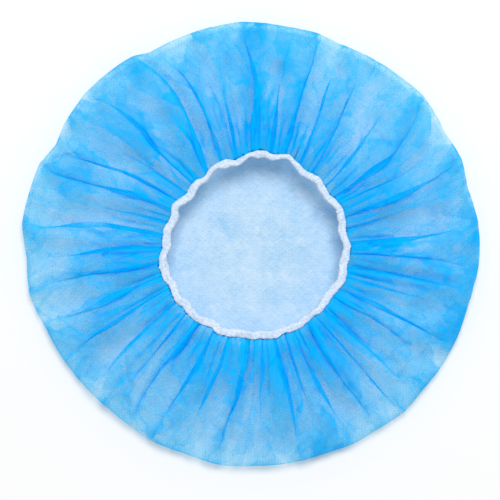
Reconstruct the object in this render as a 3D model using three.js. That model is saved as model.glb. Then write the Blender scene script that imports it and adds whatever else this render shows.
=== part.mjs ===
// A disposable bouffant cap, lying open on its flattened crown as it does on a table.
// One round blank of thin non-woven cloth turns over along its outer edge, and its border is gathered
// into a white fold-over elastic that grips the raw edge of the cloth all round the opening.
// Millimetres, +Z up, the origin under the middle of the cap at the level that it rests on.
import * as THREE from "three";

// Overall form
const outlineRadius = 156.5; // mean reach of the turned-over outer edge
const openingRadius = 64; // mean radius of the elastic's middle line
const openingOffset = { x: 2.1, y: -0.7 }; // the opening sits a little off the middle of the crown
const puffHeight = 36; // top of the highest pleat above the table
const edgeHeight = 12; // height of the outermost line of the edge
const turnWidth = 23; // from the edge inwards to where the crown lies flat
const clothWall = 1;

// Pleats
const pleatDepth = 9; // valley of the deepest pleat below the crests beside it
const fadeLength = 34; // run over which a valley dies out towards the edge
const crestBreadth = 2.2; // 2 for evenly rounded crests, more for broad crests between narrow valleys
const columnsPerPleat = 3;

// Elastic
const bandWidth = 4.6; // across, from its nose to its two free edges
const bandLayer = 0.8; // one layer of the folded elastic
const noseChamfer = 0.64; // takes off the two corners of its closed fold
const gripClearance = 0.3; // between the cloth and the elastic, on every side
const gripDepth = 3.1; // how far the cloth reaches into the fold
const rippleHeight = 1.6; // rise and fall of the elastic with its ripples
const rippleOut = 2; // largest sideways ripple of the elastic

// One row for each pleat, anticlockwise from +X seen from above.
// rim, edge: where its valley leaves the elastic and where it meets the outer edge, in degrees
// bow: how far the valley swings aside half way, in degrees
// depth: share of pleatDepth
// reach: share of the way from the elastic to the edge that the valley runs
// out: reach of the outer edge there, as a share of outlineRadius
const pleats = [
  { rim: 1, edge: 6, bow: -1, depth: 0.8, reach: 0.62, out: 1.016 },
  { rim: 11, edge: 15, bow: 0, depth: 0.4, reach: 0.35, out: 0.996 },
  { rim: 16, edge: 22.5, bow: -1, depth: 1, reach: 0.95, out: 1.011 },
  { rim: 25, edge: 30, bow: -2, depth: 0.55, reach: 0.6, out: 0.998 },
  { rim: 31, edge: 41.5, bow: -2, depth: 0.95, reach: 1, out: 1.016 },
  { rim: 40.5, edge: 49, bow: 0, depth: 0.55, reach: 0.3, out: 1.002 },
  { rim: 51, edge: 58, bow: 0, depth: 0.5, reach: 0.35, out: 0.993 },
  { rim: 60, edge: 67, bow: 0, depth: 0.45, reach: 0.3, out: 0.982 },
  { rim: 71, edge: 73, bow: 0, depth: 0.95, reach: 1, out: 0.994 },
  { rim: 79, edge: 81, bow: 1, depth: 0.5, reach: 0.6, out: 0.991 },
  { rim: 90, edge: 93, bow: -2, depth: 1, reach: 1, out: 1.002 },
  { rim: 100, edge: 105, bow: 0, depth: 0.7, reach: 0.3, out: 0.99 },
  { rim: 110, edge: 118, bow: -3, depth: 0.5, reach: 0.5, out: 0.978 },
  { rim: 121, edge: 122.5, bow: -4, depth: 1, reach: 1, out: 1.003 },
  { rim: 134, edge: 137.5, bow: 0, depth: 0.9, reach: 1, out: 1.013 },
  { rim: 142, edge: 147, bow: 0, depth: 0.6, reach: 0.3, out: 1.002 },
  { rim: 149, edge: 153, bow: 0, depth: 0.7, reach: 0.85, out: 0.987 },
  { rim: 157, edge: 159, bow: 0, depth: 1, reach: 1, out: 1.021 },
  { rim: 165, edge: 167, bow: 0, depth: 0.4, reach: 0.35, out: 1.027 },
  { rim: 173, edge: 174.5, bow: -1, depth: 0.75, reach: 1, out: 1.036 },
  { rim: 182, edge: 183, bow: 0, depth: 0.75, reach: 0.45, out: 1.012 },
  { rim: 189.5, edge: 193, bow: -1, depth: 1, reach: 1, out: 1.022 },
  { rim: 199, edge: 202, bow: 1, depth: 0.8, reach: 0.5, out: 0.996 },
  { rim: 208, edge: 210.5, bow: 0, depth: 0.6, reach: 0.85, out: 0.989 },
  { rim: 217, edge: 221, bow: 0, depth: 0.65, reach: 0.8, out: 0.978 },
  { rim: 226, edge: 229, bow: 0, depth: 0.4, reach: 0.3, out: 0.974 },
  { rim: 235, edge: 236, bow: -2, depth: 1, reach: 0.9, out: 0.976 },
  { rim: 244, edge: 242, bow: 1, depth: 0.6, reach: 0.9, out: 0.987 },
  { rim: 255, edge: 251, bow: 0, depth: 0.6, reach: 0.45, out: 0.978 },
  { rim: 268, edge: 261.5, bow: 1, depth: 1, reach: 1, out: 0.993 },
  { rim: 275, edge: 271, bow: 0, depth: 0.6, reach: 0.3, out: 0.986 },
  { rim: 284, edge: 281, bow: 1, depth: 0.55, reach: 0.8, out: 0.988 },
  { rim: 290, edge: 289, bow: 0, depth: 0.5, reach: 0.3, out: 0.985 },
  { rim: 296, edge: 297, bow: 0, depth: 0.85, reach: 1, out: 0.995 },
  { rim: 306, edge: 304, bow: 0, depth: 1, reach: 0.7, out: 0.993 },
  { rim: 311, edge: 312.5, bow: 0, depth: 0.6, reach: 1, out: 1.007 },
  { rim: 317, edge: 320, bow: -1, depth: 0.65, reach: 0.7, out: 0.998 },
  { rim: 328, edge: 327.5, bow: 0, depth: 0.5, reach: 0.35, out: 1.003 },
  { rim: 333.5, edge: 334, bow: 0, depth: 0.6, reach: 1, out: 1.004 },
  { rim: 341, edge: 344, bow: 0, depth: 0.7, reach: 0.35, out: 1 },
  { rim: 346, edge: 349, bow: 0, depth: 0.8, reach: 0.8, out: 1.003 },
  { rim: 355, edge: 355, bow: 0, depth: 0.85, reach: 0.7, out: 1.016 },
];

// One row for each outward ripple of the elastic: its angle in degrees and its share of rippleOut.
const ripples = [
  { at: 19, out: 0.8 },
  { at: 43, out: 0.4 },
  { at: 68, out: 1 },
  { at: 86, out: 0.5 },
  { at: 109, out: -0.5 },
  { at: 133, out: -0.9 },
  { at: 152, out: 0 },
  { at: 175, out: 0.1 },
  { at: 195, out: 0.8 },
  { at: 213, out: 0.6 },
  { at: 230, out: 0.6 },
  { at: 251, out: 0.6 },
  { at: 268, out: 0.1 },
  { at: 283, out: 0.5 },
  { at: 298, out: 0.6 },
  { at: 315, out: 0.2 },
  { at: 340, out: 0.8 },
  { at: 358, out: 0.6 },
];

// The gathered ring's sections, from the outer edge inwards.
// inward: share of the way from the edge to the elastic
// rise: share of the way from edgeHeight up to the top of the puff
// pleated: how much of a pleat's depth shows there
const ringSections = [
  { inward: 0.015, rise: 0.24, pleated: 0.12 },
  { inward: 0.07, rise: 0.5, pleated: 0.3 },
  { inward: 0.17, rise: 0.76, pleated: 0.55 },
  { inward: 0.31, rise: 0.94, pleated: 0.8 },
  { inward: 0.47, rise: 1, pleated: 1 },
  { inward: 0.63, rise: 0.95, pleated: 1 },
  { inward: 0.78, rise: 0.84, pleated: 0.95 },
  { inward: 0.9, rise: 0.72, pleated: 0.7 },
];
const rimRise = 0.6; // height of the elastic, as a share like the rows above

// The rings of the crown that lie flat, as shares of its radius, and of the turn up to the edge, as
// shares of a quarter turn.
const crownRings = [0.34, 0.7, 1];
const turnRings = [0.22, 0.45, 0.7, 1];

const radians = THREE.MathUtils.degToRad;
const mix = THREE.MathUtils.lerp;
const fullTurn = 360;
const columnCount = pleats.length * columnsPerPleat;
const ringWidth = outlineRadius - openingRadius;

// The two rows of a table that an angle lies between, and how far it is from the first to the second.
function between(table, key, angle) {
  const last = table.length - 1;
  let first = table.findIndex((row) => row[key] > angle) - 1;
  if (first < 0) first = last;
  const from = table[first];
  const to = table[first === last ? 0 : first + 1];
  const span = (to[key] - from[key] + fullTurn) % fullTurn;
  const share = ((angle - from[key] + fullTurn) % fullTurn) / span;
  return { from, to, share };
}

// How far the elastic lies outside its mean circle, and how high it lies, at an angle round the opening.
function rippleAt(angle) {
  const { from, to, share } = between(ripples, "at", (angle + fullTurn) % fullTurn);
  const trough = (1 + Math.cos(2 * Math.PI * share)) / 2;
  const swell = mix(from.out, to.out, share);
  return {
    out: rippleOut * (swell + trough - 0.5),
    up: rippleHeight * (trough - 0.5) * 2 * swell,
  };
}

// A point at an angle and a distance outwards from the elastic's middle line.
function besideElastic(angle, outwards) {
  const ripple = rippleAt(angle);
  const radius = openingRadius + ripple.out + outwards;
  return new THREE.Vector3(
    openingOffset.x + radius * Math.cos(radians(angle)),
    openingOffset.y + radius * Math.sin(radians(angle)),
    mix(edgeHeight, puffHeight, rimRise) + ripple.up,
  );
}

// One column of the cloth: a line that follows the pleats from the crown over the edge to the elastic.
function pleatColumn(index) {
  const first = Math.floor(index / columnsPerPleat);
  const from = pleats[first];
  const to = pleats[(first + 1) % pleats.length];
  const share = (index % columnsPerPleat) / columnsPerPleat;
  const wrap = first + 1 === pleats.length ? fullTurn : 0;
  const crest = 1 - Math.pow(Math.abs(2 * share - 1), crestBreadth);
  return {
    rim: mix(from.rim, to.rim + wrap, share),
    edge: mix(from.edge, to.edge + wrap, share),
    bow: mix(from.bow, to.bow, share),
    out: mix(from.out, to.out, share),
    sunk: (inward) => (1 - crest) * mix(sinkOf(from, inward), sinkOf(to, inward), share),
  };
}

// How deep one pleat's valley is at a share of the way inwards, as a share of pleatDepth.
function sinkOf(pleat, inward) {
  const start = 1 - pleat.reach;
  const fade = THREE.MathUtils.smoothstep(inward, start - fadeLength / ringWidth, start);
  return pleat.depth * fade;
}

// The middle of the cloth's wall down one column, from the crown's centre to the tip inside the elastic.
// level: the wall stands square to the table there, so its two faces are straight above each other.
function middleLine(index) {
  const column = pleatColumn(index);
  const reach = outlineRadius * column.out - clothWall / 2;
  const flat = (outlineRadius - turnWidth) * column.out;
  const polar = (radius, height, level) => ({
    point: new THREE.Vector3(
      radius * Math.cos(radians(column.edge)),
      radius * Math.sin(radians(column.edge)),
      height,
    ),
    level,
  });
  const floor = clothWall / 2;
  const line = [polar(0, floor, true)];
  for (const share of crownRings) line.push(polar(flat * share, floor, true));
  for (const share of turnRings) {
    const turn = (share * Math.PI) / 2;
    const out = mix(flat, reach, Math.sin(turn));
    line.push(polar(out, mix(edgeHeight, floor, Math.cos(turn)), false));
  }
  const mouth = besideElastic(column.rim, bandWidth / 2 + 2 * gripClearance);
  const edge = line[line.length - 1].point;
  for (const row of ringSections) {
    const swing = column.bow * 4 * row.inward * (1 - row.inward);
    const angle = mix(column.edge, column.rim, row.inward) + swing;
    const radius = mix(Math.hypot(edge.x, edge.y), Math.hypot(mouth.x, mouth.y), row.inward);
    const sunk = pleatDepth * row.pleated * column.sunk(row.inward);
    const height = mix(edgeHeight, puffHeight - clothWall / 2, row.rise) - sunk;
    line.push({
      point: new THREE.Vector3(
        radius * Math.cos(radians(angle)),
        radius * Math.sin(radians(angle)),
        height,
      ),
      level: false,
    });
  }
  line.push({ point: mouth, level: true });
  line.push({ point: besideElastic(column.rim, bandWidth / 2 - gripDepth), level: true });
  return line;
}

// A surface of revolution whose every point is then put in its own place.
function placedLathe(columnPoints, columns) {
  const rows = columnPoints(0).length;
  const profile = Array.from({ length: rows }, (_, row) => new THREE.Vector2(1, row));
  const geometry = new THREE.LatheGeometry(profile, columns);
  const position = geometry.getAttribute("position");
  for (let column = 0; column <= columns; column++) {
    const points = columnPoints(column % columns);
    points.forEach((p, row) => position.setXYZ(column * rows + row, p.x, p.y, p.z));
  }
  geometry.deleteAttribute("normal");
  geometry.deleteAttribute("uv");
  geometry.computeVertexNormals();
  return geometry;
}

function capCloth() {
  const lines = Array.from({ length: columnCount }, (_, index) => middleLine(index));
  const up = new THREE.Vector3(0, 0, 1);
  const normalAt = (column, row) => {
    if (lines[column][row].level) return up;
    const beside = (step) => lines[(column + step + columnCount) % columnCount][row].point;
    const around = new THREE.Vector3().subVectors(beside(1), beside(-1));
    const along = new THREE.Vector3().subVectors(
      lines[column][row + 1].point,
      lines[column][row - 1].point,
    );
    return around.cross(along).normalize();
  };
  const wallSide = (column, side) =>
    lines[column].map(({ point, level }, row) => {
      const facing = level && row <= crownRings.length ? -side : side;
      return point.clone().addScaledVector(normalAt(column, row), (facing * clothWall) / 2);
    });
  const geometry = placedLathe(
    (column) => [...wallSide(column, 1), ...wallSide(column, -1).reverse()],
    columnCount,
  );
  const cloth = new THREE.MeshStandardMaterial({ color: 0x4db0fa, roughness: 0.75 });
  const mesh = new THREE.Mesh(geometry, cloth);
  mesh.name = "cap_cloth";
  return mesh;
}

// The folded elastic: two layers joined along its nose, which faces the middle of the opening.
function elasticBand() {
  const nose = -bandWidth / 2;
  const lips = bandWidth / 2;
  const slot = clothWall / 2 + gripClearance;
  const outer = slot + bandLayer;
  const slotEnd = lips - gripDepth - gripClearance;
  const section = [
    [nose, noseChamfer - outer],
    [nose + noseChamfer, -outer],
    [lips, -outer],
    [lips, -slot],
    [slotEnd, -slot],
    [slotEnd, slot],
    [lips, slot],
    [lips, outer],
    [nose + noseChamfer, outer],
    [nose, outer - noseChamfer],
  ];
  const column = (index) => {
    const { rim } = pleatColumn(index);
    const points = section.map(([outwards, above]) => {
      const point = besideElastic(rim, outwards);
      point.z += above;
      return point;
    });
    return [...points, points[0].clone()];
  };
  const elastic = new THREE.MeshStandardMaterial({ color: 0xe6edf8, roughness: 0.85 });
  const mesh = new THREE.Mesh(placedLathe(column, columnCount), elastic);
  mesh.name = "elastic_band";
  return mesh;
}

// The cap is centred over the origin by the box of its cloth.
const cap = new THREE.Group();
const cloth = capCloth();
const box = new THREE.Box3().setFromObject(cloth);
const middle = box.getCenter(new THREE.Vector3());
cap.add(cloth, elasticBand());
for (const piece of cap.children) piece.position.set(-middle.x, -middle.y, 0);

export default cap;
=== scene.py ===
import math

import bmesh
import bpy
import numpy as np
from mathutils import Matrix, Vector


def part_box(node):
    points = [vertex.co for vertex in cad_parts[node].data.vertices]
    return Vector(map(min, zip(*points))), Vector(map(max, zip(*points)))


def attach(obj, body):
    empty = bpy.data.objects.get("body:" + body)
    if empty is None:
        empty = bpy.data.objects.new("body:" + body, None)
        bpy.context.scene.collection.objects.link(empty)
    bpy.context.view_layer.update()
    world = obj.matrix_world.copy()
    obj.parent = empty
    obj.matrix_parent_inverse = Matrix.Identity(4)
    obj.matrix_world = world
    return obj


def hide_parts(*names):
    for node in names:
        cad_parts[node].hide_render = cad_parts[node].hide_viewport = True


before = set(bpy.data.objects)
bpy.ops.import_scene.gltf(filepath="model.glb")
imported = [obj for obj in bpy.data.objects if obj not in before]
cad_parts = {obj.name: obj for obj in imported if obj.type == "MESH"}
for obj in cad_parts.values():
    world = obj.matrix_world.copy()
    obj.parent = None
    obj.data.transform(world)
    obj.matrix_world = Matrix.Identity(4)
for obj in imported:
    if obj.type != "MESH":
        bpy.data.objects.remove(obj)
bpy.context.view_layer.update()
collection = bpy.context.collection

# The cap lies open on a plain white table and is seen from straight above, through a long lens. The
# photo's frame is 347 mm wide at the height of the puffed ring, and the cap lies just above its middle.
frame_span = 0.3465
camera_height = 1.60
ring_level = 0.025
cap_above_middle = 0.0042
cap_right_of_middle = 0.0007

camera = bpy.data.cameras.new("camera")
camera.lens = camera.sensor_width * (camera_height - ring_level) / frame_span
camera_object = bpy.data.objects.new("camera", camera)
camera_object.location = (-cap_right_of_middle, -cap_above_middle, camera_height)
collection.objects.link(camera_object)
bpy.context.scene.camera = camera_object

table_bm = bmesh.new()
bmesh.ops.create_grid(table_bm, x_segments=1, y_segments=1, size=3)
table_mesh = bpy.data.meshes.new("table")
table_bm.to_mesh(table_mesh)
table_bm.free()
table = bpy.data.objects.new("table", table_mesh)
collection.objects.link(table)
table_paint = bpy.data.materials.new("white table")
table_paint.use_nodes = True
table_gloss = table_paint.node_tree.nodes["Principled BSDF"]
table_gloss.inputs["Base Color"].default_value = (0.71, 0.71, 0.71, 1)
table_gloss.inputs["Roughness"].default_value = 0.9
table_gloss.inputs["Specular IOR Level"].default_value = 0.1
table_mesh.materials.append(table_paint)

# A white room gives most of the light. One soft lamp high beyond the top of the photo leaves the narrow
# shadows below the cap and inside the top of its opening.
room = bpy.data.worlds.new("white room")
room.use_nodes = True
room.node_tree.nodes["Background"].inputs["Color"].default_value = (1, 1, 1, 1)
room.node_tree.nodes["Background"].inputs["Strength"].default_value = 0.60
bpy.context.scene.world = room

lamp_place = (0.26, 1.50, 3.69)
lamp = bpy.data.lights.new("soft lamp", "AREA")
lamp.shape = "DISK"
lamp.size = 1.8
lamp.energy = 147
lamp_object = bpy.data.objects.new("soft lamp", lamp)
lamp_object.location = lamp_place
lamp_object.rotation_euler = (
    -math.atan2(lamp_place[1], lamp_place[2]),
    math.atan2(lamp_place[0], math.hypot(lamp_place[1], lamp_place[2])),
    0,
)
collection.objects.link(lamp_object)
bpy.context.scene.view_settings.view_transform = "Standard"
bpy.context.scene.cycles.transparent_max_bounces = 64

# The cap's cloth is one round blank of spun-bonded polypropylene. It lies flat as the crown, turns over
# along its outer edge and comes back as a puffed ring, gathered ever tighter up to the elastic, whose
# fold grips its crimped raw edge.
outline_radius = 0.1565
opening_radius = 0.0618
opening_offset = (0.0021, -0.0012)
puff_height = 0.036
edge_height = 0.009
turn_width = 0.023
turn_length = 0.0278
rim_level = 0.0264
pleat_depth = 0.008
fade_length = 0.040
ripple_rise = 0.4
band_width = 0.0046
grip_depth = 0.0031
crimp_count = 180
crimp_depth = 0.0006

# rim, edge: where a pleat's valley leaves the elastic and where it meets the outer edge, in degrees
# bow: how far it swings aside half way   depth, out: shares of pleat_depth and outline_radius
# reach: share of the way from the elastic to the edge that the valley runs
# lap: share of the way to the next pleat that it lies folded over, leaning forward if above 0
pleat_columns = ("rim", "edge", "bow", "depth", "reach", "out", "lap")
pleat_rows = [
    (1, 6, -1, 0.8, 0.95, 1.016, 0.5),
    (11, 15, 0, 0.4, 0.35, 0.996, -0.15),
    (16, 22.5, -1, 1, 0.95, 1.011, -0.6),
    (25, 30, -2, 0.55, 0.6, 0.998, 0.2),
    (31, 41.5, -2, 0.95, 1, 1.016, -0.6),
    (40.5, 49, 0, 0.55, 0.45, 1.002, 0.4),
    (51, 58, 0, 0.5, 0.6, 0.993, -0.3),
    (60, 67, 0, 0.45, 0.5, 0.982, 0.3),
    (71, 73, 0, 0.95, 1, 0.994, -0.35),
    (79, 81, 1, 0.5, 0.7, 0.991, -0.4),
    (90, 93, -2, 1, 1, 1.002, 0.6),
    (100, 105, 0, 0.7, 0.3, 0.99, -0.2),
    (110, 118, -3, 0.5, 0.6, 0.978, 0.3),
    (121, 122.5, -4, 1, 1, 1.003, -0.6),
    (134, 137.5, 0, 0.9, 1, 1.013, 0.35),
    (142, 147, 0, 0.6, 0.3, 1.002, -0.2),
    (149, 153, 0, 0.7, 0.85, 0.987, 0.4),
    (157, 159, 0, 1, 1, 1.021, 0.6),
    (165, 167, 0, 0.4, 0.35, 1.027, -0.2),
    (173, 174.5, -1, 0.75, 1, 1.036, -0.4),
    (182, 183, 0, 0.75, 0.55, 1.012, -0.6),
    (189.5, 193, -1, 1, 1, 1.022, 0.4),
    (199, 202, 1, 0.8, 0.6, 0.996, 0.6),
    (208, 210.5, 0, 0.6, 0.85, 0.989, 0.3),
    (217, 221, 0, 0.65, 0.8, 0.978, -0.3),
    (226, 229, 0, 0.4, 0.5, 0.974, 0.25),
    (235, 236, -2, 1, 0.9, 0.976, 0.6),
    (244, 242, 1, 0.6, 0.9, 0.987, -0.35),
    (255, 251, 0, 0.6, 0.45, 0.978, -0.3),
    (268, 261.5, 1, 1, 1, 0.993, 0.4),
    (275, 271, 0, 0.6, 0.3, 0.986, -0.2),
    (284, 281, 1, 0.55, 0.8, 0.988, 0.35),
    (290, 289, 0, 0.5, 0.3, 0.985, -0.25),
    (296, 297, 0, 0.85, 1, 0.995, 0.5),
    (306, 304, 0, 1, 0.7, 0.993, -0.5),
    (311, 312.5, 0, 0.6, 1, 1.007, -0.45),
    (317, 320, -1, 0.65, 0.7, 0.998, 0.3),
    (328, 327.5, 0, 0.5, 0.35, 1.003, -0.2),
    (333.5, 334, 0, 0.6, 1, 1.004, -0.5),
    (341, 344, 0, 0.7, 0.5, 1, 0.3),
    (346, 349, 0, 0.8, 0.8, 1.003, 0.5),
    (355, 355, 0, 0.85, 0.7, 1.016, -0.5),
]
pleats = {name: np.array(values, float) for name, values in zip(pleat_columns, zip(*pleat_rows))}
pleat_count = len(pleat_rows)

# How the elastic wanders, as it was sewn on stretched: at an angle in degrees, how many millimetres it lies
# outside its mean circle and how wide it looks.
ripple_rows = [
    (0, 1.6, 5.2), (10, -1.2, 5.6), (20, 1.1, 5.5), (24, 1.7, 4.1), (38, -1.6, 5.1), (46, 1.1, 5.5),
    (58, -0.9, 4.8), (71, 4.6, 3.5), (78, 1.2, 4.3), (86, 3.1, 5.5), (89, 2.0, 5.5), (92, 2.8, 3.5),
    (102, -2.2, 4.5), (112, -0.2, 5.9), (117, 0.4, 3.7), (127, -3.4, 4.3), (134, -1.6, 5.4),
    (142, -4.5, 5.9), (153, 0.6, 5.4), (160, -2.2, 5.9), (172, 0.9, 5.8), (178, -0.8, 6.2),
    (188, 3.3, 5.1), (192, 2.7, 7.1), (196, 3.5, 5.8), (206, 1.1, 5.7), (212, 2.9, 5.4), (222, 0.4, 6.2),
    (228, 2.3, 4.9), (240, -0.8, 6.2), (249, 1.0, 5.8), (261, -1.7, 5.7), (266, -0.3, 5.1),
    (273, -1.2, 5.4), (282, 0.3, 5.5), (290, -1.5, 5.4), (300, 0.2, 4.7), (306, -2.2, 5.1),
    (310, -0.8, 3.9), (318, -0.4, 5.3), (327, -1.7, 6.1), (337, 1.1, 5.9), (342, 1.4, 5.8), (349, -0.4, 6.1),
]

# The turn's sections from the crown outwards: share of the way along the cloth, share of turn_width and
# share of edge_height.
turn_rows = [
    (0, 0, 0),
    (0.3, 0.34, 0.05),
    (0.55, 0.62, 0.19),
    (0.75, 0.83, 0.4),
    (0.88, 0.95, 0.62),
    (0.95, 0.99, 0.8),
    (1, 1, 1),
]

# The gathered ring's sections from the outer edge inwards: share of the way to the elastic, share of the
# rise from the edge to the top of the puff, and how much of a pleat's depth shows there.
ring_rows = [
    (0, 0, 0),
    (0.015, 0.12, 0.1),
    (0.07, 0.34, 0.35),
    (0.17, 0.6, 0.6),
    (0.31, 0.84, 0.85),
    (0.47, 0.98, 1),
    (0.62, 1, 1),
    (0.77, 0.95, 0.95),
    (0.9, 0.82, 0.7),
    (1, (rim_level - edge_height) / (puff_height - edge_height), 0.04),
]

column_count = 900
crown_rows_count = 24
turn_rows_count = 9
ring_rows_count = 84
grip_rows_count = 3
cloth_lift = 0.0004
gather_depth = 0.0042
most_packed = 3.5
facet_stretch = 1.8
millimetre = 0.001


def mix(a, b, share):
    return a + (b - a) * share


def smooth_step(value, low, high):
    share = np.clip((value - low) / (high - low), 0, 1)
    return share * share * (3 - 2 * share)


def around(values, place, turn=0.0, blend=None):
    """A table column read at a fractional row, with the last row followed by the first."""
    count = len(values)
    first = np.floor(place).astype(int)
    share = place - first
    if blend is not None:
        share = smooth_step(share, blend, 1 - blend)
    low = values[first % count] + turn * (first // count)
    high = values[(first + 1) % count] + turn * ((first + 1) // count)
    return mix(low, high, share)


def ripple_at(angle):
    """The elastic at an angle: how far outside its mean circle, how high, its share of width, its turn."""
    at, out, width = np.array(ripple_rows, float).T
    place = np.interp(angle % 360, [*at, 360], np.arange(len(at) + 1))
    outside = sum(
        around(out, np.interp((angle + aside) % 360, [*at, 360], np.arange(len(at) + 1)), blend=0) / 3
        for aside in (-2.5, 0, 2.5)
    )
    outside = millimetre * outside
    wave = np.sin(np.radians(angle * 31)) + np.sin(np.radians(angle * 47 + 60))
    twist = 10 * np.sin(np.radians(angle * 9 + 40)) + 6 * np.sin(np.radians(angle * 23))
    share = millimetre * around(width, place, blend=0) / band_width
    return outside + 0.00018 * wave, ripple_rise * outside, share, np.radians(twist)


def beside_elastic(angle, outwards, above):
    """Points at a distance from the elastic's middle line, in its own twisted section."""
    out, up, share, twist = ripple_at(angle)
    radius = opening_radius + out + outwards * share * np.cos(twist) - above * np.sin(twist)
    turn = np.radians(angle)
    return np.stack(
        [
            opening_offset[0] + radius * np.cos(turn),
            opening_offset[1] + radius * np.sin(turn),
            rim_level + up + outwards * share * np.sin(twist) + above * np.cos(twist),
        ],
        axis=-1,
    )


def through_rows(rows, steps):
    """A smooth line through a table's rows, as many steps between each two."""
    knots = np.array([rows[0], *rows, rows[-1]], float)
    line = []
    for before, start, end, after in zip(knots, knots[1:], knots[2:], knots[3:]):
        for step in range(steps):
            t = step / steps
            bend = (2 * before - 5 * start + 4 * end - after) * t * t
            swing = (3 * start - before - 3 * end + after) * t * t * t
            line.append(start + 0.5 * ((end - before) * t + bend + swing))
    line.append(knots[-1])
    return np.array(line)


# Where the rings of the finished cap lie on the flat blank.
turn_line = through_rows(turn_rows, 8)
ring_line = through_rows(ring_rows, 16)
ring_width = outline_radius - opening_radius
rise_height = puff_height - edge_height
ring_steps = np.hypot(np.diff(ring_line[:, 0]) * ring_width, np.diff(ring_line[:, 1]) * rise_height)
ring_lengths = np.concatenate([[0], np.cumsum(ring_steps)])
crown_radius = outline_radius - turn_width
edge_on_blank = crown_radius + turn_length
mouth_on_blank = edge_on_blank + ring_lengths[-1]
blank_radius = mouth_on_blank + grip_depth
cut_radii = np.concatenate(
    [
        np.linspace(0, crown_radius, crown_rows_count, endpoint=False),
        np.linspace(crown_radius, edge_on_blank, turn_rows_count, endpoint=False),
        np.linspace(edge_on_blank, mouth_on_blank, ring_rows_count, endpoint=False),
        np.linspace(mouth_on_blank, blank_radius, grip_rows_count),
    ]
)

# Towards the middle the blank's grid is coarser: inside each radius, so many of its columns become one.
column_steps = [(0.045, 6), (0.09, 3), (crown_radius, 2)]


def cut_blank(name, columns, radii):
    """A round blank lying flat: a grid rolled round its middle.

    One map keeps each point's place on the flat blank. The other is drawn in past the crown, so the facets
    that follow it come out longer there."""
    bm = bmesh.new()
    bmesh.ops.create_grid(bm, x_segments=columns, y_segments=len(radii) - 1, size=1)
    for vert in bm.verts:
        column = round((vert.co.x + 1) / 2 * columns)
        radius = radii[round((vert.co.y + 1) / 2 * (len(radii) - 1))]
        step = next((step for limit, step in column_steps if radius < limit), 1)
        turn = 2 * math.pi * ((column - column % step) % columns) / columns
        vert.co = (radius * math.cos(turn), radius * math.sin(turn), 0)
    bmesh.ops.remove_doubles(bm, verts=bm.verts, dist=1e-6)
    bmesh.ops.recalc_face_normals(bm, faces=bm.faces)
    flat_map = bm.loops.layers.uv.new("flat_cloth")
    facet_map = bm.loops.layers.uv.new("facets")
    for face in bm.faces:
        face.smooth = True
        for loop in face.loops:
            flat_place = loop.vert.co.xy
            past_crown = max(flat_place.length - crown_radius, 0)
            drawn_in = past_crown * (1 - 1 / facet_stretch) / (flat_place.length + 1e-9)
            loop[flat_map].uv = flat_place
            loop[facet_map].uv = flat_place * (1 - drawn_in)
    mesh = bpy.data.meshes.new(name)
    bm.to_mesh(mesh)
    bm.free()
    return mesh


def random_waves(points, shortest, longest, count):
    """A random smooth surface over the flat blank, about 1 high, with waves of these lengths."""
    total = np.zeros(len(points))
    for _ in range(count):
        heading = draw.uniform(0, 2 * math.pi)
        wave = 2 * math.pi / draw.uniform(shortest, longest)
        across = points[:, 0] * math.cos(heading) + points[:, 1] * math.sin(heading)
        total += np.sin(wave * across + draw.uniform(0, 2 * math.pi))
    return total / math.sqrt(count / 2)


def mesh_points(mesh):
    points = np.empty(len(mesh.vertices) * 3)
    mesh.vertices.foreach_get("co", points)
    return points.reshape(-1, 3)


# Between the main pleats the cloth has finer gathers, which die out a short way from the elastic.
draw = np.random.default_rng(11)
gather_places = []
for pleat in range(pleat_count):
    width = (pleats["rim"][(pleat + 1) % pleat_count] - pleats["rim"][pleat]) % 360
    parts = 3 if width > 8.2 else 2
    for part in range(parts):
        gather_places.append(pleat + (part + draw.uniform(-0.2, 0.2) * (part > 0)) / parts)
gather_count = len(gather_places)
gathers = {
    "place": np.array(gather_places),
    "depth": draw.uniform(0.4, 1, gather_count),
    "reach": draw.uniform(0.18, 0.8, gather_count) ** 1.3,
    "lap": draw.choice([-1, 1], gather_count) * draw.uniform(0, 0.35, gather_count),
}
gather_ends = np.concatenate([gathers["place"], [gathers["place"][0] + pleat_count]])

# A fold's shape, in shares of its width: how soft its change to the next fold is, how round its bends are,
# how much of it runs back under its lap, how far its valley leans, and how much cloth to spare a full lap
# needs.
fold_blend = 0.22
fold_round = 0.035
narrowest_return = 0.17
widest_return = 0.6
lean_most = 0.19
lean_quickness = 6
lap_share = 0.5
full_lap_spare = 0.6


def soft_plus(value):
    return np.logaddexp(0, value)


def fold_shape(table, place, inward, spare, widen):
    """How far a fold sinks, as a share, and how far it draws the cloth sideways over its valley.

    spare is how many times wider the flat cloth is than the place it has, which the fold takes up."""
    share = (place + 0.5) % 1 - 0.5
    start = 1 - around(table["reach"], place, blend=fold_blend)
    fade = smooth_step(inward, start - fade_length / ring_width, start)
    lap = lap_share * widen * around(table["lap"], place, blend=fold_blend)
    lean = lean_most * np.tanh(lap * lean_quickness)
    wanted = np.abs(lap) * np.clip((spare - 1) / full_lap_spare, 0, 1)
    over = np.minimum(wanted, spare * (1 - narrowest_return) - 1)
    back = np.clip(1 - (1 + over) / spare, narrowest_return, widest_return)
    turned_back = soft_plus((share + back / 2) / fold_round)
    turned_on = soft_plus((share - back / 2) / fold_round)
    passed = fold_round * (turned_back - turned_on)
    drawn = (over + back) / (back * (1 - back)) * (back * share - (passed - back / 2))
    sunk = around(table["depth"], place, blend=fold_blend) * (1 + np.cos(2 * np.pi * (share - lean))) / 2
    return sunk * fade, drawn * fade


def fractional_row(ends, value):
    row = np.clip(np.searchsorted(ends, value, side="right") - 1, 0, len(ends) - 2)
    return row, (value - ends[row]) / (ends[row + 1] - ends[row])


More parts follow.
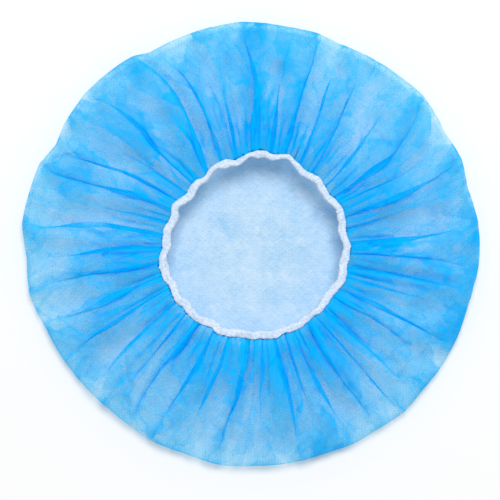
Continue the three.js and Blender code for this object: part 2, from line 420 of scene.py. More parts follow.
# Far from the elastic the pleats take up the cloth to spare, and close to it the gathers do. No fold runs
# quite straight, and its lap is wider in some places than in others.
pleats_take_far = 0.8
pleats_take_close = 0.14
gathers_take_close = 0.3
broad_wander = 0.075
fine_wander = 0.012
lap_change = 0.7
widest_lap = 2.2


def drape(flat):
    """Where each point of the flat blank lies in the finished cap."""
    flat_radius = np.hypot(flat[:, 0], flat[:, 1])
    flat_angle = np.degrees(np.arctan2(flat[:, 1], flat[:, 0])) % 360
    edges = np.concatenate([pleats["edge"], [pleats["edge"][0] + 360]])
    wrapped = np.where(flat_angle < edges[0], flat_angle + 360, flat_angle)
    place = sum(fractional_row(edges, wrapped))
    gather_row, gather_share = fractional_row(gather_ends, place)
    along = np.clip(flat_radius - edge_on_blank, 0, ring_lengths[-1])
    inward, rise, pleated = (np.interp(along, ring_lengths, ring_line[:, column]) for column in range(3))

    off_edge = smooth_step(inward, 0, 0.15)
    wander = broad_wander * random_waves(flat, 0.07, 0.2, 24) * off_edge
    wander += fine_wander * random_waves(flat, 0.025, 0.06, 24) * off_edge
    widen = np.clip(1 + lap_change * random_waves(flat, 0.05, 0.13, 24), 0, widest_lap)
    fullness = np.maximum(flat_radius / mix(outline_radius, opening_radius, inward), 1)
    pleats_take = mix(pleats_take_far, pleats_take_close, smooth_step(inward, 0.5, 1))
    gathers_take = gathers_take_close * smooth_step(inward, 0.1, 0.9)
    pleat_spare = 1 + (fullness - 1) * pleats_take
    gather_spare = 1 + (fullness - 1) * gathers_take
    pleat_sunk, pleat_drawn = fold_shape(pleats, place + wander, inward, pleat_spare, widen)
    gather_place = gather_row + gather_share
    gather_sunk, gather_drawn = fold_shape(gathers, gather_place, inward, gather_spare, widen)
    gather_width = gather_ends[gather_row + 1] - gather_ends[gather_row]
    drawn_place = place + pleat_drawn + gather_drawn * gather_width
    rim = around(pleats["rim"], drawn_place, 360)
    edge = around(pleats["edge"], drawn_place, 360)
    bow = around(pleats["bow"], drawn_place)
    out = around(pleats["out"], place)
    sunk = pleat_depth * pleated * pleat_sunk + gather_depth * np.clip(pleated, 0.1, 0.85) * gather_sunk

    turned = np.clip((flat_radius - crown_radius) / turn_length, 0, 1)
    turn_out, turn_up = (np.interp(turned, turn_line[:, 0], turn_line[:, column]) for column in (1, 2))
    crown_reach = np.minimum(flat_radius, crown_radius) * out
    outer = mix(crown_reach, outline_radius * out, turn_out)
    low = mix(cloth_lift, edge_height, turn_up)
    mouth = beside_elastic(rim, band_width / 2, 0)
    ring_angle = np.radians(mix(edge, rim, inward) + bow * 4 * inward * (1 - inward))
    ring_radius = mix(outline_radius * out, np.hypot(mouth[:, 0], mouth[:, 1]), inward)
    mouth_rise = (mouth[:, 2] - rim_level) * smooth_step(inward, 0.85, 1)
    ring_height = mix(edge_height, puff_height, rise) + mouth_rise
    on_ring = flat_radius > edge_on_blank
    radius = np.where(on_ring, ring_radius, outer)
    angle = np.where(on_ring, ring_angle, np.radians(flat_angle))
    height = np.where(on_ring, ring_height - sunk, low)
    draped = np.stack([radius * np.cos(angle), radius * np.sin(angle), height], axis=-1)

    # Inside the elastic the raw edge is crimped.
    in_grip = flat_radius > mouth_on_blank
    deep = np.clip((flat_radius - mouth_on_blank) / grip_depth, 0, 1)
    crimp = crimp_depth * deep * np.sin(crimp_count * np.radians(flat_angle))
    gripped = beside_elastic(rim, band_width / 2 - grip_depth * deep, crimp - sunk * mix(1, 0.3, deep))
    draped[in_grip] = gripped[in_grip]
    return draped, (drawn_place + wander) % pleat_count, inward


cloth_mesh = cut_blank("cap_cloth_sheet", column_count, cut_radii)
flat = mesh_points(cloth_mesh)
flat_radius = np.hypot(flat[:, 0], flat[:, 1])
draped, lies_at, inward = drape(flat)

# The cap's outline is centred as the frame's cloth is.
frame_low, frame_high = (np.array(corner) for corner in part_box("cap_cloth"))
centring = (frame_low + frame_high) / 2 - (draped.min(axis=0) + draped.max(axis=0)) / 2
centring[2] = 0
draped += centring

# Creases: the cap was folded small to pack it, and the sharp lines of that still cross the cloth. Each row
# gives how many, between which radii of the blank, how far they turn from the radius in degrees, how long
# they are, how high they stand and how much painted shade darkens the cloth along them.
crease_columns = (
    "count", "inside", "outside", "turn_least", "turn_most", "shortest", "longest", "height", "dark",
)
crease_rows = [
    (170, 0.165, 0.245, 3, 30, 0.016, 0.055, 0.0012, 1.2),
    (170, 0.235, 0.262, 0, 9, 0.010, 0.026, 0.0006, 1.5),
    (190, 0.125, 0.225, 20, 90, 0.010, 0.036, 0.0010, 0.85),
    (46, 0.010, 0.125, 0, 90, 0.014, 0.050, 0.0011, 0.22),
]
crease_line = 0.0007
crease_widening = 3.5
crest_shade = 0.45
side_shade = 0.75

# As shares of a crease's length: how far its ridge and its painted shade slope off to the side, and how far
# from its middle it is worked out.
ridge_slope = 0.25
shading_slope = 0.15
crease_reach = 2.2
creased = np.zeros(len(flat))
crease_painted_shade = np.zeros(len(flat))
for row in crease_rows:
    kind = dict(zip(crease_columns, row))
    for _ in range(kind["count"]):
        middle = math.sqrt(draw.uniform(kind["inside"] ** 2, kind["outside"] ** 2))
        turn = draw.uniform(0, 2 * math.pi)
        tilt = turn + draw.choice([-1, 1]) * math.radians(draw.uniform(kind["turn_least"], kind["turn_most"]))
        length = draw.uniform(kind["shortest"], kind["longest"])
        size = draw.choice([-1, 1]) * draw.uniform(0.3, 1)
        line = crease_line * mix(1, crease_widening, smooth_step(middle, edge_on_blank, mouth_on_blank))
        from_middle = flat[:, :2] - middle * np.array([math.cos(turn), math.sin(turn)])
        near = np.nonzero(np.abs(from_middle).max(axis=1) < crease_reach * length)[0]
        run = from_middle[near] @ np.array([math.cos(tilt), math.sin(tilt)])
        aside = from_middle[near] @ np.array([-math.sin(tilt), math.cos(tilt)])
        fading = np.exp(-((run / length) ** 2) * 1.5)
        ridge = np.exp(-np.abs(aside) / (ridge_slope * length))
        creased[near] += kind["height"] * size * fading * ridge
        # Painted shade along the crease: a thin dark line on it and a soft fall of shade to one side.
        under = draw.choice([-1, 1]) * aside / line
        dying = np.exp(-np.maximum(under, 0) * line / (shading_slope * length))
        soft_side = smooth_step(under, -0.8, 0.4) * dying
        line_shade = crest_shade * np.exp(-(under**2)) + side_shade * soft_side
        crease_painted_shade[near] += kind["dark"] * abs(size) * fading * line_shade

# Between the creases the cloth is crumpled into flat patches, longer along the radius. Each patch tilts
# its own way and looks a little denser or thinner than its neighbours, and a thin line of painted shade runs
# where two patches meet. The crown, which lies on the table, is calmer.
patch_count = 420
patch_stretch = 1.7
patch_warp = 0.004
patch_tilt = 0.10
patch_edge = 0.0008
patch_line_width = 0.0010
crumple_height = 0.0004
crown_calm = 0.75
patch_radii = blank_radius * np.sqrt(draw.uniform(0, 1, patch_count))
patch_angles = draw.uniform(0, 2 * math.pi, patch_count)
patch_tilts = draw.uniform(-patch_tilt, patch_tilt, (patch_count, 2))
patch_tones = draw.uniform(-1, 1, patch_count)
flat_turn = np.arctan2(flat[:, 1], flat[:, 0])
patched = np.zeros(len(flat))
tone = np.zeros(len(flat))
patch_edge_shade = np.zeros(len(flat))
warp_out = patch_warp * random_waves(flat, 0.018, 0.05, 20)
warp_aside = patch_warp * random_waves(flat, 0.018, 0.05, 20)
for chunk in np.array_split(np.arange(len(flat)), 16):
    apart = (flat_radius + warp_out)[chunk, None] - patch_radii
    turned = (flat_turn[chunk, None] - patch_angles + math.pi) % (2 * math.pi) - math.pi
    beside = turned * (flat_radius[chunk, None] + patch_radii) / 2 + warp_aside[chunk, None]
    stretch = mix(1, patch_stretch, smooth_step(flat_radius[chunk, None], crown_radius, edge_on_blank))
    distance = np.hypot(apart / stretch, beside)
    nearest = np.partition(distance, 1, axis=1)[:, :2]
    weight = np.exp(-(distance - nearest[:, :1]) / patch_edge)
    weight /= weight.sum(axis=1, keepdims=True)
    patched[chunk] = (weight * (patch_tilts[:, 0] * apart + patch_tilts[:, 1] * beside)).sum(axis=1)
    tone[chunk] = weight @ patch_tones
    # A thin line of painted shade where two patches meet.
    patch_edge_shade[chunk] = np.exp(-(((nearest[:, 1] - nearest[:, 0]) / patch_line_width) ** 2))
crumpled = patched + crumple_height * random_waves(flat, 0.007, 0.024, 48)
settled = smooth_step(flat_radius, mouth_on_blank - 0.002, mouth_on_blank - 0.022)
on_table = smooth_step(flat_radius, edge_on_blank, crown_radius)
draped[:, 2] += (creased + crumpled) * settled * (1 - crown_calm * on_table)
draped[:, 2] = np.maximum(draped[:, 2], cloth_lift)
cloth_mesh.vertices.foreach_set("co", draped.ravel())
cloth_mesh.update()

# How much of the flat blank lies over each bit of the table: 1 where it lies flat, more where it is
# gathered or stands on edge.
corners = np.array([(*face.vertices, face.vertices[-1])[:4] for face in cloth_mesh.polygons])


def seen_area(points):
    across = points[corners[:, 2]] - points[corners[:, 0]]
    along = points[corners[:, 3]] - points[corners[:, 1]]
    return np.abs(across[:, 0] * along[:, 1] - across[:, 1] * along[:, 0]) / 2


flat_area = seen_area(flat)
face_packed = flat_area / np.maximum(seen_area(draped), flat_area / most_packed)
packing_and_shade = np.zeros(len(flat))
shares = np.zeros(len(flat))
for corner in range(4):
    np.add.at(packing_and_shade, corners[:, corner], face_packed)
    np.add.at(shares, corners[:, corner], 1)
packing_and_shade_layer = cloth_mesh.attributes.new("packing_and_shade", "FLOAT", "POINT")
on_ring = smooth_step(flat_radius, crown_radius, edge_on_blank)

# A fold's band is this wide, as a share of the fold, and wider where it laps.
band_least = 0.25
band_by_lap = 0.9


def folded_band(table, place):
    """How much darker the cloth looks beside each fold: crisp on one side, dying away on the other."""
    share = (place + 0.5) % 1 - 0.5
    start = 1 - around(table["reach"], place, blend=0.4)
    lap = around(table["lap"], place, blend=0.45)
    under = -np.sign(lap) * share
    width = band_least + band_by_lap * np.abs(lap)
    shape = smooth_step(under, -0.07, 0.03) * (1 - smooth_step(under, 0.1 * width, width))
    strong = around(table["depth"], place, blend=0.4) ** 1.7
    return shape * strong * smooth_step(inward, start - 0.25, start + 0.2)


# Broad places where the ring looks denser, as more cloth lies folded under there, or thinner: from and to
# which angle in degrees, from and to which share of the way from the edge to the elastic, and how much.
shade_rows = [
    (-1, 5, 0.3, 0.95, 0.35), (5, 14, 0.06, 0.75, -0.35), (14, 21, 0.1, 0.95, 0.3),
    (25, 31, 0.06, 0.5, -0.35), (31, 43, 0.1, 0.9, 0.3), (43, 52, 0.06, 0.7, -0.35),
    (53, 56, 0.2, 0.9, 0.3), (58, 68, 0.02, 0.25, -0.35), (70, 73, 0, 0.9, 0.3),
    (75, 79, 0.1, 0.8, -0.25), (80, 92, 0, 0.95, 0.38), (94, 107, 0.2, 0.86, -0.5),
    (108, 115, 0, 0.6, 0.12), (116, 123, 0.3, 0.95, 0.35), (124, 133, 0.3, 0.7, -0.4),
    (132, 136, 0, 0.9, 0.35), (138, 149, 0.02, 0.78, -0.38), (150, 159, 0, 1, 0.35),
    (162, 171, 0.06, 0.78, -0.38), (173, 188, 0.4, 1, 0.32), (180, 187, 0.02, 0.4, -0.3),
    (188, 192, 0, 0.9, 0.3), (192, 197, 0.1, 0.7, -0.3), (198, 208, 0.2, 1, 0.3),
    (210, 214, 0.1, 0.9, 0.28), (216, 226, 0.02, 0.5, -0.22), (226, 231, 0.2, 0.7, -0.3),
    (232, 241, 0.1, 1, 0.32), (243, 247, 0.1, 0.9, 0.25), (249, 260, 0.1, 0.42, -0.32),
    (261, 264, 0, 0.9, 0.25), (268, 277, 0.1, 0.7, -0.35), (278, 281, 0.1, 0.9, 0.25),
    (282, 291, 0.05, 0.6, -0.28), (291, 298, 0, 0.95, 0.3), (303, 308, 0.55, 0.95, 0.35),
    (311, 318, 0, 0.95, 0.28), (319, 331, 0.15, 0.86, -0.4), (332, 338, 0, 0.95, 0.3),
    (339, 347, 0.15, 0.65, -0.35), (346, 351, 0.2, 0.95, 0.28), (354, 358, 0.3, 0.9, 0.22),
]
shade_blur = 0.10
shade_wander = 0.05
denser_strength = 0.95
thinner_strength = 1.3
about = draped - centring
lies_angle = np.degrees(np.arctan2(about[:, 1], about[:, 0]))
lies_angle += random_waves(flat, 0.03, 0.08, 24)
lies_inward = inward + shade_wander * random_waves(flat, 0.02, 0.06, 24)
shade = np.zeros(len(flat))
for first, last, outer_end, inner_end, amount in shade_rows:
    aside = np.abs((lies_angle - (first + last) / 2 + 180) % 360 - 180)
    across = 1 - smooth_step(aside / ((last - first) / 2 + 0.8), 0.7, 1.2)
    starts = smooth_step(lies_inward, outer_end - shade_blur, outer_end + shade_blur)
    stops = 1 - smooth_step(lies_inward, inner_end - shade_blur, inner_end + shade_blur)
    strength = denser_strength if amount > 0 else thinner_strength
    shade += strength * amount * across * starts * stops

# Share of the way from the edge to the elastic, and how much denser the cloth looks there than one layer.
density_rows = [
    (0, 0.93), (0.1, 1.04), (0.2, 1.06), (0.33, 1.10), (0.48, 1.30), (0.63, 1.52), (0.76, 1.67),
    (0.85, 1.90), (0.92, 2.26), (1, 2.6),
]
past_first = np.where(lies_at < gather_ends[0], lies_at + pleat_count, lies_at)
gather_lies_at = sum(fractional_row(gather_ends, past_first))
pleat_band = 0.7
gather_band = 0.6
bands = pleat_band * folded_band(pleats, lies_at) + gather_band * folded_band(gathers, gather_lies_at)

# Finer folds run from the elastic outwards, each crisp on one side. A row gives how many in a turn, how far
# they drift aside, how much denser they look, and between which shares of the way to the elastic.
streak_rows = [
    (23, 5, 0.30, -0.2, 0.75),
    (37, 4, 0.34, 0.1, 0.9),
    (61, 3.5, 0.40, 0.4, 1.1),
    (97, 3, 0.62, 0.62, 1.2),
    (149, 3, 0.60, 0.75, 1.2),
]
broad_drift = 0.35
fine_drift = 0.12
streak_blur = 0.12
streak_strength = 1.6
streak_balance = 0.45
streaks = np.zeros(len(flat))
for count, drift, amount, outer_end, inner_end in streak_rows:
    turn_share = count * lies_angle / 360 + drift * broad_drift * random_waves(flat, 0.09, 0.25, 16)
    turn_share += fine_drift * random_waves(flat, 0.02, 0.05, 16)
    saw = turn_share % 1
    fall = smooth_step(saw, 0, 0.07) * (1 - smooth_step(saw, 0.05, 0.7))
    strong = np.clip(0.5 + 0.8 * random_waves(flat, 0.03, 0.09, 20), 0, 1.3)
    starts = smooth_step(inward, outer_end - streak_blur, outer_end + streak_blur)
    stops = 1 - smooth_step(inward, inner_end - streak_blur, inner_end + streak_blur)
    streaks += amount * (fall * streak_strength - streak_balance) * strong * starts * stops

# How densely the cloth lies at each point, from all of these together, with the painted shade of the creases
# and patch borders added, is kept in it for its material.
packing_power = 0.7
crown_density = 0.92
crown_tone = 0.08
ring_tone = 0.14
patch_edge_shade_share = 0.35
crown_patch_edge_shade = 0.2
density = np.interp(inward, *np.array(density_rows).T)
packing_and_shade = (packing_and_shade / shares) ** packing_power * np.exp(mix(crown_tone, ring_tone, on_ring) * tone)
packing_and_shade *= mix(crown_density, density * (1 + bands) * np.exp(shade + streaks), on_ring)
# The painted shade of the creases and of the borders between patches is added on top of the cloth's density.
packing_and_shade += (crease_painted_shade + patch_edge_shade_share * patch_edge_shade * mix(crown_patch_edge_shade, 1, on_ring)) * settled
packing_and_shade_layer.data.foreach_set("value", packing_and_shade)
ring_layer = cloth_mesh.attributes.new("on_ring", "FLOAT", "POINT")
ring_layer.data.foreach_set("value", on_ring)

cloth = bpy.data.objects.new("cap_cloth_sheet", cloth_mesh)
collection.objects.link(cloth)


# The finish is a web of blue fibres, pressed together in rows of small diamonds. Light passes between the
# fibres, and the more cloth lies there, the deeper its blue. Painted shade along creases and across the
# facets deepens the blue the same way.
def new_node(tree, kind, **settings):
    made = tree.nodes.new(kind)
    for name, value in settings.items():
        setattr(made, name, value)
    return made


def calc(tree, operation, *values, clamp=False):
    """A Math node's result. Each value is a number or a socket."""
    made = new_node(tree, "ShaderNodeMath", operation=operation, use_clamp=clamp)
    for socket, value in zip(made.inputs, values):
        if isinstance(value, (int, float)):
            socket.default_value = value
        else:
            tree.links.new(value, socket)
    return made.outputs[0]


# Fibres laid down in two crossing directions, as streaks of a length and a width.
fibre_web = bpy.data.node_groups.new("fibre web", "ShaderNodeTree")
fibre_web.interface.new_socket("Where", in_out="INPUT", socket_type="NodeSocketVector")
fibre_web.interface.new_socket("Length", in_out="INPUT", socket_type="NodeSocketFloat")
fibre_web.interface.new_socket("Width", in_out="INPUT", socket_type="NodeSocketFloat")
fibre_web.interface.new_socket("Web", in_out="OUTPUT", socket_type="NodeSocketFloat")
web_in = new_node(fibre_web, "NodeGroupInput")
web_out = new_node(fibre_web, "NodeGroupOutput")
streak_size = new_node(fibre_web, "ShaderNodeCombineXYZ")
for socket, name in zip(streak_size.inputs, ("Length", "Width", "Width")):
    fibre_web.links.new(web_in.outputs[name], socket)
laid_fibres = []
for heading in (37, -31):
    laid = new_node(fibre_web, "ShaderNodeMapping", vector_type="TEXTURE")
    laid.inputs["Rotation"].default_value[2] = math.radians(heading)
    fibre_web.links.new(web_in.outputs["Where"], laid.inputs["Vector"])
    fibre_web.links.new(streak_size.outputs[0], laid.inputs["Scale"])
    streak = new_node(fibre_web, "ShaderNodeTexNoise")
    streak.inputs["Scale"].default_value = 1
    streak.inputs["Detail"].default_value = 2
    streak.inputs["Distortion"].default_value = 0.6
    fibre_web.links.new(laid.outputs[0], streak.inputs["Vector"])
    laid_fibres.append(streak.outputs["Fac"])
both_ways = calc(fibre_web, "ADD", *laid_fibres)
fibre_web.links.new(calc(fibre_web, "MULTIPLY", both_ways, 0.5), web_out.inputs["Web"])


def web_of(tree, where, length, width):
    web = new_node(tree, "ShaderNodeGroup", node_tree=fibre_web)
    tree.links.new(where, web.inputs["Where"])
    web.inputs["Length"].default_value = length
    web.inputs["Width"].default_value = width
    return web.outputs["Web"]


cloth_paint = bpy.data.materials.new("blue non-woven cloth")
cloth_paint.use_nodes = True
cloth_tree = cloth_paint.node_tree
cloth_tree.nodes.clear()

# The pressed diamonds are two waves that cross at 45 degrees to the roll of cloth.
flat_uv = new_node(cloth_tree, "ShaderNodeUVMap", uv_map="flat_cloth").outputs[0]
diamonds = new_node(cloth_tree, "ShaderNodeMapping")
diamonds.inputs["Rotation"].default_value[2] = math.radians(45)
cloth_tree.links.new(flat_uv, diamonds.inputs["Vector"])
diamond_axes = new_node(cloth_tree, "ShaderNodeSeparateXYZ")
cloth_tree.links.new(diamonds.outputs[0], diamond_axes.inputs[0])
bond_pitch = 0.0031
bond_turn = 2 * math.pi / bond_pitch
bonds = calc(
    cloth_tree,
    "MULTIPLY",
    calc(cloth_tree, "COSINE", calc(cloth_tree, "MULTIPLY", diamond_axes.outputs[0], bond_turn)),
    calc(cloth_tree, "COSINE", calc(cloth_tree, "MULTIPLY", diamond_axes.outputs[1], bond_turn)),
)
web = web_of(cloth_tree, flat_uv, length=0.0060, width=0.0011)
clouds = new_node(cloth_tree, "ShaderNodeTexNoise", noise_dimensions="2D")
clouds.inputs["Scale"].default_value = 60
clouds.inputs["Detail"].default_value = 4
cloth_tree.links.new(flat_uv, clouds.inputs["Vector"])

packing_and_shade_read = new_node(cloth_tree, "ShaderNodeAttribute", attribute_name="packing_and_shade").outputs["Fac"]
ring_read = new_node(cloth_tree, "ShaderNodeAttribute", attribute_name="on_ring").outputs["Fac"]


def crown_to_ring(on_crown, on_ring):
    """A value that changes from the flat crown to the gathered ring."""
    return calc(cloth_tree, "MULTIPLY_ADD", ring_read, on_ring - on_crown, on_crown)


# The crumpled cloth lies in facets, each at its own slant. Each has a random tone of its own, and painted
# shade grades evenly across it and stops at a crisp edge, where a thin line of painted shade runs.
facet_warp = 0.9
facet_own_tone = 1.6
facet_edge = 0.0012


def facets_of(tree, where, size, lean):
    """The tone of crumpled facets of a size, about -1 to 1, with painted shade graded across each, and lines
    of painted shade on their edges.
    """
    bent = new_node(tree, "ShaderNodeTexNoise", noise_dimensions="2D")
    bent.inputs["Scale"].default_value = 1 / size
    bent.inputs["Detail"].default_value = 2
    tree.links.new(where, bent.inputs["Vector"])
    aside = new_node(tree, "ShaderNodeVectorMath", operation="MULTIPLY_ADD")
    tree.links.new(bent.outputs["Color"], aside.inputs[0])
    aside.inputs[1].default_value = (facet_warp * size, facet_warp * size, 0)
    tree.links.new(where, aside.inputs[2])
    cells = new_node(tree, "ShaderNodeTexVoronoi", voronoi_dimensions="2D", feature="F1")
    edges = new_node(tree, "ShaderNodeTexVoronoi", voronoi_dimensions="2D", feature="DISTANCE_TO_EDGE")
    for texture in (cells, edges):
        texture.inputs["Scale"].default_value = 1 / size
        tree.links.new(aside.outputs[0], texture.inputs["Vector"])
    off_middle = new_node(tree, "ShaderNodeVectorMath", operation="SUBTRACT")
    tree.links.new(aside.outputs[0], off_middle.inputs[0])
    tree.links.new(cells.outputs["Position"], off_middle.inputs[1])
    slope = new_node(tree, "ShaderNodeVectorMath", operation="SUBTRACT")
    tree.links.new(cells.outputs["Color"], slope.inputs[0])
    slope.inputs[1].default_value = (0.5, 0.5, 0.5)
    across = new_node(tree, "ShaderNodeVectorMath", operation="DOT_PRODUCT")
    tree.links.new(off_middle.outputs[0], across.inputs[0])
    tree.links.new(slope.outputs[0], across.inputs[1])
    own = new_node(tree, "ShaderNodeSeparateXYZ")
    tree.links.new(slope.outputs[0], own.inputs[0])
    # Painted shade grading evenly across each facet, as its slant would shade it.
    painted_slant_shade = calc(tree, "MULTIPLY", across.outputs["Value"], lean / size)
    tone = calc(tree, "MULTIPLY_ADD", own.outputs["Z"], facet_own_tone, painted_slant_shade)
    line = new_node(tree, "ShaderNodeMapRange", interpolation_type="SMOOTHSTEP")
    tree.links.new(edges.outputs["Distance"], line.inputs["Value"])
    line.inputs["From Max"].default_value = facet_edge / size
    line.inputs["To Min"].default_value = 1
    line.inputs["To Max"].default_value = 0
    return tone, line.outputs["Result"]


facet_uv = new_node(cloth_tree, "ShaderNodeUVMap", uv_map="facets").outputs[0]
broad_facet = 0.026
small_facet = 0.012
broad_strength = 0.55
small_strength = 0.40
broad_tone, broad_edge_shade = facets_of(cloth_tree, facet_uv, broad_facet, lean=3.0)
small_tone, small_edge_shade = facets_of(cloth_tree, facet_uv, small_facet, lean=2.6)
broad_share = calc(cloth_tree, "MULTIPLY", broad_tone, broad_strength)
small_share = calc(cloth_tree, "MULTIPLY", small_tone, small_strength)
facet_tone_and_shade = calc(cloth_tree, "ADD", broad_share, small_share)
facet_tone_and_shade = calc(cloth_tree, "MULTIPLY", facet_tone_and_shade, crown_to_ring(0.2, 1))
# Thin lines of painted shade darken the cloth along the facets' edges.
facet_edge_shade = calc(cloth_tree, "ADD", broad_edge_shade, small_edge_shade)
painted_edge_shade = calc(cloth_tree, "MULTIPLY_ADD", facet_edge_shade, crown_to_ring(0.04, 0.30), 0.97)
packing_and_shade_read = calc(cloth_tree, "MULTIPLY", packing_and_shade_read, calc(cloth_tree, "EXPONENT", facet_tone_and_shade))
packing_and_shade_read = calc(cloth_tree, "MULTIPLY", packing_and_shade_read, painted_edge_shade)

# The web, its clouds and the pressed diamonds make the cloth thicker and thinner, each as a share near 1.
web_strength = 2.8
cloud_strength = 0.45
thinnest = 0.05
web_share = calc(cloth_tree, "MULTIPLY_ADD", web, web_strength, 1 - web_strength / 2)
cloud_share = calc(cloth_tree, "MULTIPLY_ADD", clouds.outputs["Fac"], cloud_strength, 1 - cloud_strength / 2)
bond_depth = calc(cloth_tree, "MULTIPLY", crown_to_ring(-0.12, -0.34), calc(cloth_tree, "MULTIPLY", web, 2))
bond_share = calc(cloth_tree, "MULTIPLY_ADD", bonds, bond_depth, 1)
spread = calc(cloth_tree, "MULTIPLY", calc(cloth_tree, "MULTIPLY", web_share, cloud_share), bond_share)
thicker = calc(cloth_tree, "SUBTRACT", spread, 1)
uneven = calc(cloth_tree, "MULTIPLY", thicker, calc(cloth_tree, "SQRT", packing_and_shade_read))
uneven = calc(cloth_tree, "MULTIPLY", uneven, crown_to_ring(0.82, 0.87))
layers = calc(cloth_tree, "MAXIMUM", calc(cloth_tree, "ADD", packing_and_shade_read, uneven), thinnest)

# Each layer lets this share of the light straight through, tinted a little.
clear_share = 0.795
clear_tint = (0.90, 0.97, 1)
alpha = calc(cloth_tree, "SUBTRACT", 1, calc(cloth_tree, "POWER", clear_share, layers), clamp=True)
passed_tint = new_node(cloth_tree, "ShaderNodeCombineColor")
for socket, share in zip(passed_tint.inputs, clear_tint):
    cloth_tree.links.new(calc(cloth_tree, "POWER", share, layers), socket)

relief = new_node(cloth_tree, "ShaderNodeBump")
relief.inputs["Strength"].default_value = 0.12
relief.inputs["Distance"].default_value = 0.0002
cloth_tree.links.new(
    calc(cloth_tree, "ADD", web, calc(cloth_tree, "MULTIPLY", bonds, -0.25)), relief.inputs["Height"]
)

crown_blue = (0.01, 0.395, 0.80, 1)
thin_blue = (0.0, 0.67, 1.0, 1)
deep_blue = (0.0, 0.56, 1.0, 1)
ring_blue = new_node(cloth_tree, "ShaderNodeMix", data_type="RGBA")
deeper = calc(cloth_tree, "MULTIPLY_ADD", packing_and_shade_read, 0.35, -0.35, clamp=True)
cloth_tree.links.new(deeper, ring_blue.inputs["Factor"])
ring_blue.inputs["A"].default_value = thin_blue
ring_blue.inputs["B"].default_value = deep_blue
blue = new_node(cloth_tree, "ShaderNodeMix", data_type="RGBA")
cloth_tree.links.new(ring_read, blue.inputs["Factor"])
blue.inputs["A"].default_value = crown_blue
cloth_tree.links.new(ring_blue.outputs["Result"], blue.inputs["B"])
fibre_blue = blue.outputs["Result"]
sheen = new_node(cloth_tree, "ShaderNodeBsdfPrincipled")
cloth_tree.links.new(fibre_blue, sheen.inputs["Base Color"])
sheen.inputs["Roughness"].default_value = 0.7
sheen.inputs["Specular IOR Level"].default_value = 0.06
cloth_tree.links.new(relief.outputs[0], sheen.inputs["Normal"])
glow = new_node(cloth_tree, "ShaderNodeBsdfTranslucent")
cloth_tree.links.new(fibre_blue, glow.inputs["Color"])
cloth_tree.links.new(relief.outputs[0], glow.inputs["Normal"])
gaps = new_node(cloth_tree, "ShaderNodeBsdfTransparent")
cloth_tree.links.new(passed_tint.outputs[0], gaps.inputs["Color"])
both = new_node(cloth_tree, "ShaderNodeMixShader")
both.inputs[0].default_value = 0.5
cloth_tree.links.new(sheen.outputs[0], both.inputs[1])
cloth_tree.links.new(glow.outputs[0], both.inputs[2])
woven = new_node(cloth_tree, "ShaderNodeMixShader")
cloth_tree.links.new(alpha, woven.inputs[0])
cloth_tree.links.new(gaps.outputs[0], woven.inputs[1])
cloth_tree.links.new(both.outputs[0], woven.inputs[2])
surface = new_node(cloth_tree, "ShaderNodeOutputMaterial")
cloth_tree.links.new(woven.outputs[0], surface.inputs["Surface"])
cloth_mesh.materials.append(cloth_paint)

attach(cloth, "root")
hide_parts("cap_cloth")

# The white elastic is folded over the raw edge of the cloth and sewn through while it is stretched, so it
# ripples and twists as it pulls the cloth together. Its two ends lap where it was joined.
elastic_rows = [
    (-2.4, 0.0), (-2.3, 0.8), (-1.9, 1.4), (-1.25, 1.8), (-0.5, 2.0), (0.2, 1.9), (0.9, 1.8), (1.5, 1.65),
    (2.0, 1.35), (2.3, 1.1), (2.15, 0.9), (1.2, 0.85), (-0.7, 0.8), (-1.1, 0.45), (-1.1, -0.45), (-0.7, -0.8),
    (1.2, -0.85), (2.15, -0.9), (2.3, -1.1), (2.0, -1.35), (1.5, -1.6), (0.9, -1.7), (0.1, -1.7),
    (-1.15, -1.65), (-1.8, -1.35), (-2.2, -0.75),
]
elastic_steps = 900
lap_start = 22.5
lap_run = 16
lap_inward = 0.0009
lap_rise = 0.0004

# The band swells and narrows along its length: by which share, how often in a turn, and from which angle.
swell_rows = [(0.05, 37, 10), (0.035, 83, 0), (0.03, 139, 50), (0.02, 173, 0)]
thickening_share = 0.05
thickening_count = 41

elastic_bm = bmesh.new()
section = [
    elastic_bm.verts.new((opening_radius + x * millimetre, 0, z * millimetre)) for x, z in elastic_rows
]
section_edges = [elastic_bm.edges.new(pair) for pair in zip(section, section[1:] + section[:1])]
bmesh.ops.spin(
    elastic_bm,
    geom=section + section_edges,
    cent=(0, 0, 0),
    axis=(0, 0, 1),
    angle=2 * math.pi,
    steps=elastic_steps,
    use_merge=True,
)
bmesh.ops.recalc_face_normals(elastic_bm, faces=elastic_bm.faces)
for face in elastic_bm.faces:
    face.smooth = True
elastic_mesh = bpy.data.meshes.new("folded_elastic")
elastic_bm.to_mesh(elastic_mesh)
elastic_bm.free()

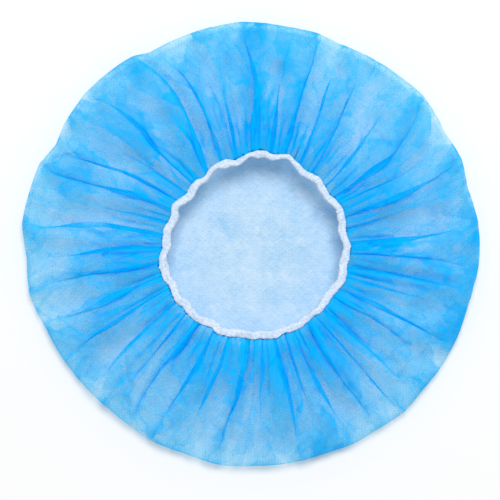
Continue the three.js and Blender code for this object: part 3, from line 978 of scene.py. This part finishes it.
round_band = mesh_points(elastic_mesh)
band_angle = np.degrees(np.arctan2(round_band[:, 1], round_band[:, 0])) % 360
outwards = np.hypot(round_band[:, 0], round_band[:, 1]) - opening_radius
above = round_band[:, 2]
past_lap = (band_angle - lap_start) / lap_run
lapped = np.where((past_lap >= 0) & (past_lap < 1), 1 - np.clip(past_lap, 0, 1), 0)
inner_side = smooth_step(outwards, 0.0005, -0.0015)
swell = np.ones(len(round_band))
for share, count, start in swell_rows:
    swell += share * np.sin(np.radians(band_angle * count + start))
thickening = 1 + thickening_share * np.sin(np.radians(band_angle * thickening_count))
placed = beside_elastic(
    band_angle,
    outwards * swell - lap_inward * lapped * inner_side,
    above * thickening + lap_rise * lapped * (above > 0),
)
placed += centring
elastic_mesh.vertices.foreach_set("co", placed.ravel())
elastic_mesh.update()
elastic = bpy.data.objects.new("folded_elastic", elastic_mesh)
collection.objects.link(elastic)

elastic_paint = bpy.data.materials.new("white elastic")
elastic_paint.use_nodes = True
elastic_tree = elastic_paint.node_tree
soft = elastic_tree.nodes["Principled BSDF"]
soft.inputs["Roughness"].default_value = 0.85
soft.inputs["Specular IOR Level"].default_value = 0.2
where = new_node(elastic_tree, "ShaderNodeTexCoord").outputs["Object"]
fuzz = web_of(elastic_tree, where, length=0.0026, width=0.0009)
whites = new_node(elastic_tree, "ShaderNodeMix", data_type="RGBA")
fuzz_strength = 3.6
fuzz_share = calc(elastic_tree, "MULTIPLY_ADD", fuzz, fuzz_strength, 0.5 - fuzz_strength / 2, clamp=True)
elastic_tree.links.new(fuzz_share, whites.inputs["Factor"])
whites.inputs["A"].default_value = (0.34, 0.45, 0.60, 1)
whites.inputs["B"].default_value = (0.62, 0.69, 0.78, 1)
elastic_tree.links.new(whites.outputs["Result"], soft.inputs["Base Color"])
fuzz_relief = new_node(elastic_tree, "ShaderNodeBump")
fuzz_relief.inputs["Strength"].default_value = 0.6
fuzz_relief.inputs["Distance"].default_value = 0.0006
elastic_tree.links.new(fuzz, fuzz_relief.inputs["Height"])
elastic_tree.links.new(fuzz_relief.outputs[0], soft.inputs["Normal"])
elastic_mesh.materials.append(elastic_paint)

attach(elastic, "root")
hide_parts("elastic_band")
